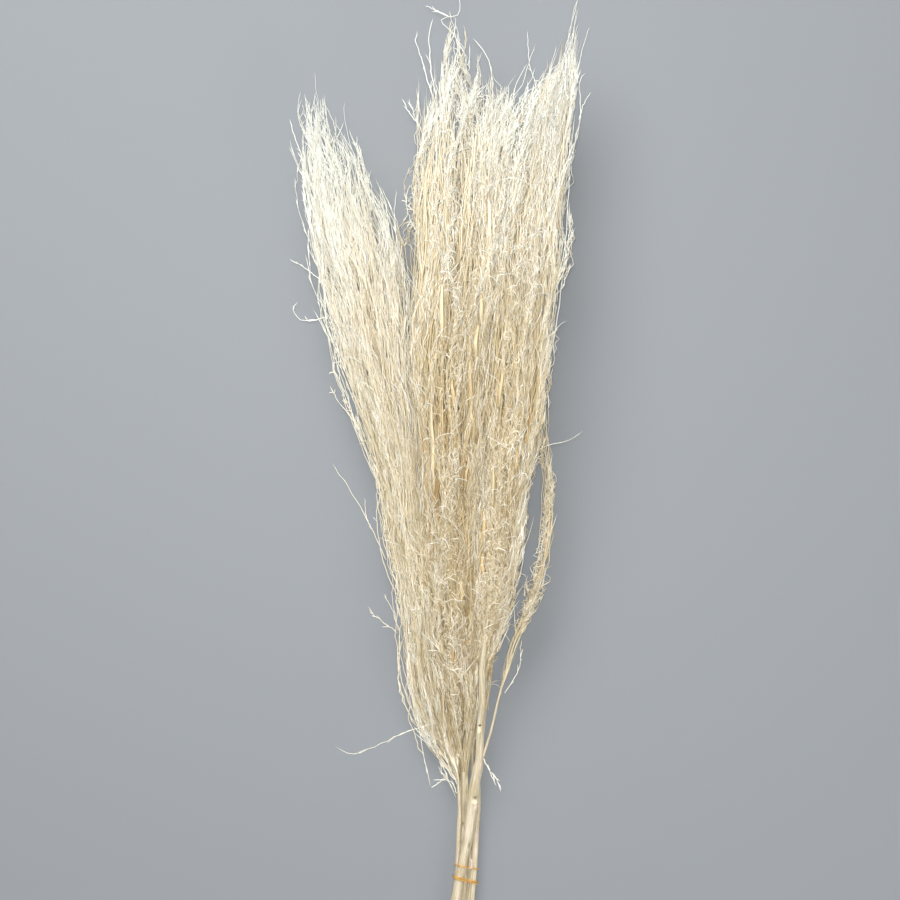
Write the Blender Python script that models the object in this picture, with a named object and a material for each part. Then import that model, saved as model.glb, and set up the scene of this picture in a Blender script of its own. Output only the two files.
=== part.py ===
"""Bundle of dried kochia, lying on a surface.

Six woody stems lie side by side in a tie of two rubber bands. Above the tie each stem fans out into
slender branches that run almost parallel and fill the stem's own share of the plume. The bundle lies
on its side along +Y: cut ends at -Y, branch tips at +Y, floor at z = 0. The underside of the plume is
pressed flat by its own weight, as a cone lies on its side.

Sizes are in millimetres in the bundle's own frame (x = 0 and y = 0 at the tie), and the finished
solids are moved so that the origin is the bottom centre of the whole bundle.
"""

import math

import bpy
import numpy as np
from mathutils import Matrix

MM = 0.001

# Stems, in millimetres. Below TIE_HIGH_Y they keep their full radius, above FORK_Y they branch.
TIE_STATIONS = (-28.0, -10.0, 0.0, 12.0, 24.0, 40.0)
TIE_HIGH_Y = 24.0
FORK_Y = 58.0
STEM_STEP = 46.0
STEM_TAPER = 0.7
STEM_END_RADIUS = 1.3
STEM_BEVEL_RESOLUTION = 2

# Branches. A branch reaches its own place in the room within SPREAD_SHARE of its length.
BRANCH_SEGMENTS = 7
BRANCH_ROOT_RADIUS = 1.75
BRANCH_TIP_RADIUS = 0.85
BRANCH_BEVEL_RESOLUTION = 1
LOWEST_BRANCH = 8.0
INNER_START_SHARE = 0.42
OUTER_END_SHARE = 0.20
SPREAD_SHARE = 0.62
GOLDEN_ANGLE = math.pi * (3.0 - math.sqrt(5.0))
SEED = 11

# Rubber bands, in millimetres. A band slopes down to the right, in the bundle's own frame.
BAND_GAP = 0.55
BAND_POINTS = 30
CIRCLE_POINTS = 24
BAND_BEVEL_SHARE = 0.6
UPPER_BAND_Y = 12.0
UPPER_BAND_SLOPE = -0.22
UPPER_BAND_WIDTH = 1.3
UPPER_BAND_THICKNESS = 1.0
LOWER_BAND_Y = 0.0
LOWER_BAND_SLOPE = -0.24
LOWER_BAND_WIDTH = 2.8
LOWER_BAND_THICKNESS = 1.3

# Each stem has its radius, its axis as points (x, y, z) from the cut end through the tie to the tip, and
# the room that its branches fill above the fork: stations (y, left edge, right edge, low edge, high edge).
STEMS = {
    "stem_left": {
        "radius": 1.9,
        "branches": 13,
        "axis": [
            (-19.8, -52, 5.4),
            (-10.5, 0, 9.2),
            (-8.1, 58, 12.2),
            (-19, 100, 17),
            (-35, 170, 24),
            (-50, 260, 31),
            (-66, 360, 37),
            (-84, 470, 42),
            (-104, 580, 46),
            (-135, 716, 40),
        ],
        "room": [
            (100, -31, -11, 9, 26),
            (170, -50, -22, 6, 44),
            (260, -67, -33, 3, 58),
            (360, -88, -42, 1, 70),
            (470, -114, -54, 0, 80),
            (580, -145, -66, 0, 86),
            (660, -154, -92, 2, 78),
            (716, -150, -118, 12, 56),
        ],
    },
    "stem_centre": {
        "radius": 2.6,
        "branches": 13,
        "axis": [
            (-8.6, -48, 8.2),
            (-2.7, 0, 9.0),
            (-4.2, 58, 8.9),
            (-5, 100, 14),
            (-6, 170, 34),
            (-10, 260, 56),
            (-14, 360, 74),
            (-17, 470, 86),
            (-17, 580, 92),
            (-24, 756, 76),
        ],
        "room": [
            (100, -10, 3, 12, 26),
            (170, -19, 4, 25, 54),
            (260, -29, 6, 38, 78),
            (360, -37, 8, 50, 98),
            (470, -48, 13, 58, 116),
            (580, -52, 20, 62, 124),
            (660, -48, 24, 60, 118),
            (756, -36, -8, 62, 92),
        ],
    },
    "stem_front": {
        "radius": 4.2,
        "branches": 13,
        "axis": [
            (-16.4, -57, 12.6),
            (-7.2, 0, 15.4),
            (-3.0, 22, 16.5),
            (2.7, 46, 16.2),
            (8.1, 81, 19.4),
            (10.8, 126, 26),
            (13.4, 180, 39),
            (15, 250, 56),
            (24, 340, 71),
            (38, 430, 80),
            (57, 580, 85),
            (94, 792, 66),
        ],
        "room": [
            (100, 5, 16, 16, 32),
            (170, 6, 29, 26, 52),
            (260, 9, 41, 38, 72),
            (360, 12, 57, 50, 90),
            (470, 18, 71, 56, 106),
            (580, 27, 86, 58, 112),
            (680, 34, 101, 54, 104),
            (792, 84, 104, 52, 82),
        ],
    },
    "stem_right": {
        "radius": 3.0,
        "branches": 11,
        "axis": [
            (-0.6, -55, 9.4),
            (4.8, 0, 11.3),
            (9.6, 50, 10.2),
            (12.5, 100, 8),
            (21, 170, 10),
            (31, 260, 15),
            (41, 360, 21),
            (52, 470, 25),
            (63, 580, 26),
            (78, 740, 25),
        ],
        "room": [
            (100, 8, 18, 2, 13),
            (170, 16, 28, 0, 22),
            (260, 23, 40, 0, 32),
            (360, 29, 54, 0, 43),
            (470, 35, 70, 0, 50),
            (580, 42, 84, 0, 52),
            (740, 56, 96, 8, 42),
        ],
    },
    "stem_back_left": {
        "radius": 2.8,
        "branches": 11,
        "axis": [
            (-13.6, -54, 3.0),
            (-6.9, 0, 4.9),
            (-5.0, 58, 2.9),
            (-6, 100, 5),
            (-11, 170, 11),
            (-18, 260, 17),
            (-24, 360, 23),
            (-29, 470, 27),
            (-33, 560, 27),
            (-33, 640, 26),
        ],
        "room": [
            (100, -10, -1, 0, 10),
            (170, -19, -3, 0, 22),
            (260, -29, -6, 0, 33),
            (360, -38, -8, 0, 44),
            (470, -48, -9, 0, 52),
            (560, -56, -10, 0, 54),
            (640, -50, -16, 4, 48),
        ],
    },
    "stem_back_middle": {
        "radius": 2.4,
        "branches": 11,
        "axis": [
            (-4.4, -46, 2.7),
            (1.5, 0, 4.6),
            (2.4, 58, 4.4),
            (4, 100, 6),
            (7, 170, 10),
            (9, 260, 16),
            (11, 360, 22),
            (13, 470, 25),
            (16, 580, 26),
            (20, 690, 25),
        ],
        "room": [
            (100, 0, 7, 1, 11),
            (170, -1, 13, 0, 21),
            (260, -2, 19, 0, 33),
            (360, -3, 24, 0, 43),
            (470, -4, 30, 0, 50),
            (580, -4, 36, 0, 52),
            (690, 6, 34, 6, 44),
        ],
    },
}

# The side branch leaves the front stem low down and runs beside the body: points (x, y, z).
SIDE_BRANCH = [
    (11, 122, 26),
    (22, 152, 34),
    (34, 196, 42),
    (49, 236, 48),
    (62, 272, 52),
    (70, 306, 55),
    (75, 344, 57),
    (76, 384, 58),
    (78, 430, 58),
    (83, 478, 57),
]
SIDE_BRANCH_RADII = (1.9, 1.0)

WOOD = (0.80, 0.70, 0.52, 1.0)
PALE_WOOD = (0.88, 0.83, 0.70, 1.0)
RUBBER = (0.62, 0.38, 0.10, 1.0)


def clear_scene():
    for item in list(bpy.data.objects):
        bpy.data.objects.remove(item, do_unlink=True)


def material(name, colour, roughness):
    made = bpy.data.materials.new(name)
    made.use_nodes = True
    shader = made.node_tree.nodes["Principled BSDF"]
    shader.inputs["Base Color"].default_value = colour
    shader.inputs["Roughness"].default_value = roughness
    shader.inputs["Metallic"].default_value = 0.0
    return made


def smooth(position, places, values):
    """Values at position along a smooth curve through (places, values) that never overshoots them."""
    places = np.asarray(places, float)
    values = np.asarray(values, float)
    rises = np.diff(values) / np.diff(places)
    product = rises[:-1] * rises[1:]
    total = rises[:-1] + rises[1:]
    inner = np.where(product > 0, 2 * product / np.where(product > 0, total, 1), 0)
    slopes = np.concatenate([rises[:1], inner, rises[-1:]])
    position = np.clip(position, places[0], places[-1])
    index = np.clip(np.searchsorted(places, position, side="right") - 1, 0, len(places) - 2)
    width = places[index + 1] - places[index]
    u = (position - places[index]) / width
    return (
        values[index] * (2 * u**3 - 3 * u**2 + 1)
        + slopes[index] * width * (u**3 - 2 * u**2 + u)
        + values[index + 1] * (3 * u**2 - 2 * u**3)
        + slopes[index + 1] * width * (u**3 - u**2)
    )


def axis_at(stem, y):
    """Points (x, y, z) on the stem's axis at heights y."""
    x_list, y_list, z_list = np.array(stem["axis"], float).T
    return np.column_stack([smooth(y, y_list, x_list), y, smooth(y, y_list, z_list)])


def room_at(stem, y):
    """Left, right, low and high edge of the stem's room at heights y. It starts as wide as the stem."""
    x, _, z = axis_at(stem, np.array([FORK_Y]))[0]
    r = stem["radius"]
    stations = np.array([(FORK_Y, x - r, x + r, z - r, z + r), *stem["room"]], float)
    return [smooth(y, stations[:, 0], stations[:, column]) for column in (1, 2, 3, 4)]


def stem_radius(stem, y):
    """The stem keeps its full radius through the tie and tapers to its tip."""
    tip_y = stem["axis"][-1][1]
    share = np.clip((y - TIE_HIGH_Y) / (tip_y - TIE_HIGH_Y), 0, 1)
    return STEM_END_RADIUS + (stem["radius"] - STEM_END_RADIUS) * (1 - share) ** STEM_TAPER


def tube(name, points, radii, bevel_resolution):
    """A closed round tube along points, as a mesh object."""
    curve = bpy.data.curves.new(name, "CURVE")
    curve.dimensions = "3D"
    curve.bevel_depth = MM
    curve.bevel_resolution = bevel_resolution
    curve.render_resolution_u = 0
    curve.use_fill_caps = True
    spline = curve.splines.new("POLY")
    spline.points.add(len(points) - 1)
    places = np.column_stack([np.asarray(points) * MM, np.ones(len(points))])
    spline.points.foreach_set("co", places.ravel())
    spline.points.foreach_set("radius", np.asarray(radii, float))
    carrier = bpy.data.objects.new(name, curve)
    bpy.context.collection.objects.link(carrier)
    bpy.context.view_layer.update()
    mesh = bpy.data.meshes.new_from_object(carrier.evaluated_get(bpy.context.evaluated_depsgraph_get()))
    bpy.data.objects.remove(carrier, do_unlink=True)
    solid = bpy.data.objects.new(name, mesh)
    bpy.context.collection.objects.link(solid)
    return solid


def branch_route(stem, index, count, rng):
    """A branch leaves the axis at a narrow angle, then runs along the room at a fixed share of it.

    The shares follow a sunflower pattern, so the branches fill the room evenly. Outer branches leave
    lower and end sooner than inner ones.
    """
    reach = math.sqrt((index + 0.6) / count)
    angle = index * GOLDEN_ANGLE + rng.uniform(-0.2, 0.2)
    across = np.clip(0.5 + 0.6 * reach * math.cos(angle), 0, 1)
    up = np.clip(0.5 + 0.6 * reach * math.sin(angle), 0, 1)
    tip_y = stem["axis"][-1][1]
    length = tip_y - FORK_Y
    start = FORK_Y + LOWEST_BRANCH + length * (INNER_START_SHARE * (1 - reach) + rng.uniform(0.0, 0.05))
    end = tip_y - length * (OUTER_END_SHARE * reach**2 + rng.uniform(0.0, 0.06))
    y = np.linspace(start, end, BRANCH_SEGMENTS + 1)
    spread = np.clip((y - start) / (SPREAD_SHARE * (end - start)), 0, 1)
    spread = 1 - (1 - spread) ** 2
    root_radius = min(BRANCH_ROOT_RADIUS, 0.8 * stem_radius(stem, start))
    radii = np.linspace(root_radius, BRANCH_TIP_RADIUS, len(y))
    left, right, low, high = room_at(stem, y)
    axis = axis_at(stem, y)
    x = left + radii + (right - left - 2 * radii) * across
    z = low + radii + (high - low - 2 * radii) * up
    x = axis[:, 0] + spread * (x - axis[:, 0])
    z = axis[:, 2] + spread * (z - axis[:, 2])
    return np.column_stack([x, y, np.maximum(z, radii)]), radii


def stem_solid(name, stem, rng):
    """One stem with its branches, united into one solid."""
    cut_y, tip_y = stem["axis"][0][1], stem["axis"][-1][1]
    steps = np.arange(FORK_Y, tip_y - STEM_STEP / 2, STEM_STEP)
    y = np.concatenate([[cut_y], TIE_STATIONS, steps, [tip_y]])
    trunk = tube(name, axis_at(stem, y), stem_radius(stem, y), STEM_BEVEL_RESOLUTION)
    group = bpy.data.collections.new(name + "_branches")
    bpy.context.scene.collection.children.link(group)
    branches = []
    for index in range(stem["branches"]):
        points, radii = branch_route(stem, index, stem["branches"], rng)
        branches.append(tube(f"{name}_branch", points, radii, BRANCH_BEVEL_RESOLUTION))
    if name == "stem_front":
        radii = np.linspace(*SIDE_BRANCH_RADII, len(SIDE_BRANCH))
        branches.append(tube("side_branch", SIDE_BRANCH, radii, BRANCH_BEVEL_RESOLUTION))
    for branch in branches:
        bpy.context.collection.objects.unlink(branch)
        group.objects.link(branch)
    union = trunk.modifiers.new("Union", "BOOLEAN")
    union.operation = "UNION"
    union.solver = "EXACT"
    union.operand_type = "COLLECTION"
    union.collection = group
    bpy.context.view_layer.update()
    evaluated = trunk.evaluated_get(bpy.context.evaluated_depsgraph_get())
    solid = bpy.data.meshes.new_from_object(evaluated)
    trunk.modifiers.remove(union)
    trunk.data = solid
    for branch in branches:
        bpy.data.objects.remove(branch, do_unlink=True)
    bpy.data.collections.remove(group)
    return trunk


def convex_outline(points):
    """The corners of the convex outline around 2-D points, counter-clockwise."""
    points = sorted(map(tuple, points))

    def half(run):
        kept = []
        for p in run:
            while len(kept) > 1:
                (ax, ay), (bx, by) = kept[-2], kept[-1]
                if (bx - ax) * (p[1] - ay) - (by - ay) * (p[0] - ax) > 0:
                    break
                kept.pop()
            kept.append(p)
        return kept[:-1]

    return np.array(half(points) + half(points[::-1]))


def band_solid(name, y, slope, width, thickness):
    """A flat rubber band stretched around the six stems of the tie."""
    angles = np.linspace(0, 2 * math.pi, CIRCLE_POINTS, endpoint=False)
    circles = []
    for stem in STEMS.values():
        reach = stem["radius"] + BAND_GAP + thickness / 2
        x, _, z = axis_at(stem, np.array([y]))[0]
        x, _, z = axis_at(stem, np.array([y + slope * x]))[0]
        circles.append(np.column_stack([x + reach * np.cos(angles), z + reach * np.sin(angles)]))
    outline = convex_outline(np.concatenate(circles))
    closed = np.vstack([outline, outline[:1]])
    lengths = np.concatenate([[0], np.cumsum(np.linalg.norm(np.diff(closed, axis=0), axis=1))])
    places = np.linspace(0, lengths[-1], BAND_POINTS, endpoint=False)
    path = np.column_stack([np.interp(places, lengths, closed[:, k]) for k in (0, 1)])
    ahead = np.roll(path, -1, axis=0) - np.roll(path, 1, axis=0)
    ahead /= np.linalg.norm(ahead, axis=1, keepdims=True)
    outward = np.column_stack([ahead[:, 1], -ahead[:, 0]])
    half_w, half_t = width / 2, thickness / 2
    bevel = half_t * BAND_BEVEL_SHARE
    section = [
        (half_t, half_w - bevel),
        (half_t - bevel, half_w),
        (-half_t, half_w),
        (-half_t, -half_w),
        (half_t - bevel, -half_w),
        (half_t, bevel - half_w),
    ]
    vertices = []
    for out, along in section:
        ring = path + outward * out
        vertices.append(np.column_stack([ring[:, 0], y + slope * ring[:, 0] + along, ring[:, 1]]))
    vertices = np.concatenate(vertices) * MM
    faces = []
    for row in range(len(section)):
        for column in range(BAND_POINTS):
            after = (column + 1) % BAND_POINTS
            below = (row + 1) % len(section)
            faces.append(
                (
                    row * BAND_POINTS + column,
                    below * BAND_POINTS + column,
                    below * BAND_POINTS + after,
                    row * BAND_POINTS + after,
                )
            )
    mesh = bpy.data.meshes.new(name)
    mesh.from_pydata(vertices.tolist(), [], faces)
    band = bpy.data.objects.new(name, mesh)
    bpy.context.collection.objects.link(band)
    return band


def centre_on_floor(objects):
    """Moves every solid so that the origin is the bottom centre of them all."""
    corners = np.concatenate([np.array([v.co[:] for v in item.data.vertices]) for item in objects])
    low, high = corners.min(axis=0), corners.max(axis=0)
    shift = Matrix.Translation((-(low[0] + high[0]) / 2, -(low[1] + high[1]) / 2, -low[2]))
    for item in objects:
        item.data.transform(shift)


def main():
    clear_scene()
    rng = np.random.default_rng(SEED)
    wood = material("kochia_wood", WOOD, 0.8)
    pale_wood = material("kochia_wood_pale", PALE_WOOD, 0.8)
    rubber = material("band_rubber", RUBBER, 0.45)
    made = []
    for name, stem in STEMS.items():
        solid = stem_solid(name, stem, rng)
        solid.data.materials.clear()
        solid.data.materials.append(pale_wood if name == "stem_left" else wood)
        made.append(solid)
    upper = band_solid(
        "band_upper", UPPER_BAND_Y, UPPER_BAND_SLOPE, UPPER_BAND_WIDTH, UPPER_BAND_THICKNESS
    )
    lower = band_solid(
        "band_lower", LOWER_BAND_Y, LOWER_BAND_SLOPE, LOWER_BAND_WIDTH, LOWER_BAND_THICKNESS
    )
    for band in (upper, lower):
        band.data.materials.append(rubber)
        made.append(band)
    centre_on_floor(made)
    for item in made:
        item.data.shade_smooth()
        item.data.set_sharp_from_angle(angle=math.radians(50))


main()
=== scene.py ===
"""Bundle of dried kochia: the looks of its bark, twigs and rubber bands, and the stage it lies on.

The script is laid out as an add-on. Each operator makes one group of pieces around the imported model,
which stays where it is. Sizes are in millimetres in the bundle's own frame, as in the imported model's
source: x = 0 and y = 0 at the tie, floor at z = 0, cut ends at -y, twig tips at +y.
"""

import math

import bpy
import numpy as np
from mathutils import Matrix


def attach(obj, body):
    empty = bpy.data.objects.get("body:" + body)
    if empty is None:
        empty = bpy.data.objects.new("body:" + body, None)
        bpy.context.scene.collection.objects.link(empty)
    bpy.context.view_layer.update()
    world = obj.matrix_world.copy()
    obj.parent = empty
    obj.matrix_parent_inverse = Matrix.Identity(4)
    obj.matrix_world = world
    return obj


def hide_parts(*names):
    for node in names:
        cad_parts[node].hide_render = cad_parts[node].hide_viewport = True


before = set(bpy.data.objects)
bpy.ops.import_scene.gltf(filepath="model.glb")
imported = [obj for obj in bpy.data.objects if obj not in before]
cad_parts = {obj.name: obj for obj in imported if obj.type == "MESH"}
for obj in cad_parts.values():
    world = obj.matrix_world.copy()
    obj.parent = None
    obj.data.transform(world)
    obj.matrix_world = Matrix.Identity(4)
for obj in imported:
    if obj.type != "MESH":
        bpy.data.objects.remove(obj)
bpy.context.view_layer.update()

bl_info = {
    "name": "Dried Kochia Bundle",
    "version": (1, 0, 0),
    "blender": (4, 5, 0),
    "location": "3D View > Sidebar > Kochia",
    "description": "Makes the bark, twigs, rubber bands and stage of a bundle of dried kochia",
    "category": "Add Mesh",
}

MM = 0.001
SEED = 23
TURN = 2 * math.pi
GOLDEN_ANGLE = math.pi * (3.0 - math.sqrt(5.0))

# Where most stems fork, how far above its fork a stem's first branch leaves, and how long a full plume is
FORK_Y = 58.0
LOWEST_BRANCH = 8.0
PLUME_LENGTH = 640.0

# What all pieces keep within, and the gap that strands keep to the floor
ROOM_X = (-163.0, 112.0)
ROOM_Z = (0.12, 133.0)
FLOOR_GAP = ROOM_Z[0]

# Each stem has the height of its fork, where it isn't FORK_Y, its radius at the tie, the radius of its
# bark as points (y, radius), its axis as points (x, y, z) from the cut end through the tie to the tip, the
# room that its branches fill above the fork, as stations (y, left edge, right edge, low edge, high edge),
# and the line of its tips (share across, y).
STEMS = {
    "stem_left": {
        "fork": 70.0,
        "radius": 1.9,
        "bark": [(-52, 1.9), (50, 1.9), (82, 1.2), (120, 0.7), (660, 0.4)],
        "axis": [
            (-19.8, -52, 5.4), (-10.5, 0, 9.2), (-7.9, 58, 12.2), (-8.6, 88, 14), (-20, 125, 18),
            (-35, 170, 24), (-50, 260, 31), (-66, 360, 37), (-84, 470, 42), (-104, 580, 46),
            (-135, 716, 40),
        ],
        "room": [
            (85, -28, -5, 8, 20), (99, -38, -6, 8, 24), (120, -46, -8, 8, 30), (165, -51, -16, 6, 44),
            (207, -53, -22, 4, 52), (260, -60, -28, 3, 60), (300, -69, -32, 2, 64), (360, -79, -38, 1, 70),
            (409, -92, -42, 1, 75), (470, -114, -48, 0, 80), (580, -140, -65, 0, 86),
            (640, -149, -86, 0, 86), (716, -153, -110, 2, 84),
        ],
        "tips": [(0, 654), (0.15, 688), (0.45, 690), (0.7, 674), (1, 616)],
    },
    "stem_centre": {
        "radius": 2.6,
        "bark": [
            (-48, 2.6), (40, 2.6), (66, 3.2), (84, 3.2), (98, 2.6), (118, 1.5), (165, 0.9), (700, 0.4),
        ],
        "axis": [
            (-8.6, -48, 8.2), (-2.7, 0, 9.0), (-3.4, 58, 8.9), (-2.2, 88, 12), (-3.4, 110, 17),
            (-6, 170, 34), (-10, 260, 56), (-14, 360, 74), (-17, 470, 86), (-17, 580, 92), (-24, 756, 76),
        ],
        "room": [
            (85, -12, 5, 9, 20), (120, -20, 7, 14, 32), (170, -26, 8, 24, 52), (260, -34, 7, 36, 78),
            (360, -41, 10, 48, 98), (470, -49, 20, 56, 112), (580, -45, 33, 60, 119),
            (640, -41, 37, 60, 118), (700, -38, 34, 60, 116), (756, -35, 28, 60, 114),
        ],
        "tips": [(0, 720), (0.12, 740), (0.3, 749), (0.5, 742), (0.62, 728), (0.8, 718), (1, 698)],
    },
    "stem_front": {
        "radius": 4.2,
        "fork": 142.0,
        "bark": [
            (-57, 4.3), (24, 4.5), (40, 5.0), (64, 5.0), (90, 4.9), (108, 4.1), (150, 3.7), (200, 3.0),
            (270, 2.1), (400, 1.0), (740, 0.4),
        ],
        "axis": [
            (-16.4, -57, 12.6), (-7.2, 0, 15.4), (-2.6, 22, 16.5), (0.9, 40, 17.0), (2.8, 56, 17.6),
            (5.2, 72, 18.8), (7.0, 88, 20.8), (9.8, 108, 25), (11, 126, 30), (12.6, 170, 43), (15, 250, 62),
            (24, 340, 71), (38, 430, 80), (57, 580, 85), (94, 792, 66),
        ],
        "room": [
            (175, 5, 19, 28, 44), (207, 5, 25, 32, 54), (252, 6, 38, 38, 68), (297, 8, 43, 44, 78),
            (342, 10, 48, 49, 87), (387, 11, 58, 52, 94), (470, 8, 69, 56, 104), (530, 7, 76, 57, 108),
            (560, 7, 79, 58, 109), (600, 9, 80, 58, 108), (640, 13, 86, 57, 106), (700, 32, 93, 55, 102),
            (792, 87, 104, 52, 96),
        ],
        "tips": [(0, 698), (0.3, 716), (0.5, 738), (0.8, 764), (1, 768)],
    },
    "stem_right": {
        "radius": 3.0,
        "fork": 96.0,
        "bark": [(-55, 3.2), (30, 3.3), (60, 3.0), (100, 1.8), (200, 1.1), (700, 0.4)],
        "axis": [
            (-0.6, -55, 9.4), (4.8, 0, 11.3), (7.9, 50, 10.2), (10.2, 100, 8), (19, 170, 10), (31, 260, 15),
            (41, 360, 21), (52, 470, 25), (63, 580, 26), (78, 740, 25),
        ],
        "room": [
            (126, 6, 15, 1, 17), (165, 9, 17, 0, 22), (207, 12, 25, 0, 27), (252, 17, 38, 0, 31),
            (297, 21, 43, 0, 36), (342, 24, 48, 0, 41), (387, 27, 58, 0, 45), (470, 32, 68, 0, 50),
            (580, 38, 79, 0, 52), (640, 43, 82, 0, 51), (740, 68, 91, 4, 48),
        ],
        "tips": [(0, 690), (0.5, 705), (0.8, 732), (1, 716)],
    },
    "stem_back_left": {
        "radius": 2.8,
        "bark": [(-54, 2.8), (50, 2.7), (100, 1.6), (220, 1.0), (600, 0.4)],
        "axis": [
            (-13.6, -54, 3.0), (-6.9, 0, 4.9), (-5.0, 58, 2.9), (-6, 100, 5), (-11, 170, 11),
            (-18, 260, 17), (-24, 360, 23), (-29, 470, 27), (-33, 560, 27), (-33, 640, 26),
        ],
        "room": [
            (85, -18, -1, 0, 10), (120, -30, -2, 0, 16), (170, -34, -3, 0, 22), (260, -38, -5, 0, 33),
            (360, -43, -7, 0, 44), (470, -50, -8, 0, 52), (560, -57, -9, 0, 54), (640, -58, -12, 2, 52),
        ],
        "tips": [(0, 600), (0.5, 640), (1, 630)],
    },
    "stem_back_middle": {
        "radius": 2.4,
        "bark": [(-46, 2.4), (50, 2.3), (100, 1.5), (220, 1.0), (650, 0.4)],
        "axis": [
            (-4.4, -46, 2.7), (1.5, 0, 4.6), (2.4, 58, 4.4), (4, 100, 6), (7, 170, 10), (9, 260, 16),
            (11, 360, 22), (13, 470, 25), (16, 580, 26), (20, 690, 25),
        ],
        "room": [
            (100, 0, 7, 1, 11), (170, -2, 14, 0, 21), (260, -4, 20, 0, 33), (360, -5, 25, 0, 43),
            (470, -6, 31, 0, 50), (580, -6, 38, 0, 52), (690, -4, 42, 2, 50),
        ],
        "tips": [(0, 680), (0.5, 690), (1, 670)],
    },
}

# The branch that leaves the front stem on its right and stands clear of the plume. Its room is as wide as
# its feathery twigs.
SIDE_BRANCH = {
    "fork": 144.0,
    "radius": 1.3,
    "bark": [(98, 1.3), (160, 1.1), (300, 0.8), (478, 0.4)],
    "axis": [
        (10, 98, 23), (15.5, 114, 28), (21.5, 138, 33), (28, 163, 38), (40, 207, 43), (51, 230, 47),
        (60, 252, 50), (66, 278, 53), (70, 306, 55), (72, 344, 57), (70, 384, 58), (66, 430, 58),
        (68, 478, 57),
    ],
    "room": [
        (150, 17, 26, 32, 40), (163, 20, 30, 34, 42), (185, 27, 37, 36, 45), (207, 35, 43, 38, 48),
        (252, 54, 62, 43, 54), (278, 61, 70, 47, 57), (306, 65, 75, 49, 59), (344, 67, 77, 51, 61),
        (384, 65, 75, 52, 62), (430, 61, 72, 52, 64), (478, 62, 74, 52, 63),
    ],
    "tips": [(0, 440), (0.4, 478), (1, 456)],
}

PLUMES = {**STEMS, "side_branch": SIDE_BRANCH}

# Growth of each plume: how many branches, twigs, curls and long curls it has, how far its twigs waver (mm),
# how much its curls turn and lean (radians), and how much tanner its wood is than its height alone makes it
GROWTH_KEYS = ("branches", "twigs", "curls", "long_curls", "waver", "turn", "lean", "tone")
GROWTH = {
    "stem_left": (80, 1350, 1600, 800, 0.45, 1.0, 0.50, -0.17),
    "stem_centre": (64, 1010, 5750, 850, 1.40, 2.3, 1.0, 0.08),
    "stem_front": (72, 1130, 5950, 850, 1.20, 2.1, 1.0, 0.06),
    "stem_right": (36, 300, 2200, 300, 1.10, 2.0, 1.0, 0.14),
    "stem_back_left": (30, 280, 1800, 250, 1.10, 2.2, 1.0, 0.12),
    "stem_back_middle": (20, 150, 1000, 100, 1.00, 2.0, 1.0, 0.16),
    "side_branch": (6, 40, 90, 12, 2.00, 0.8, 0.35, -0.12),
}

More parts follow.
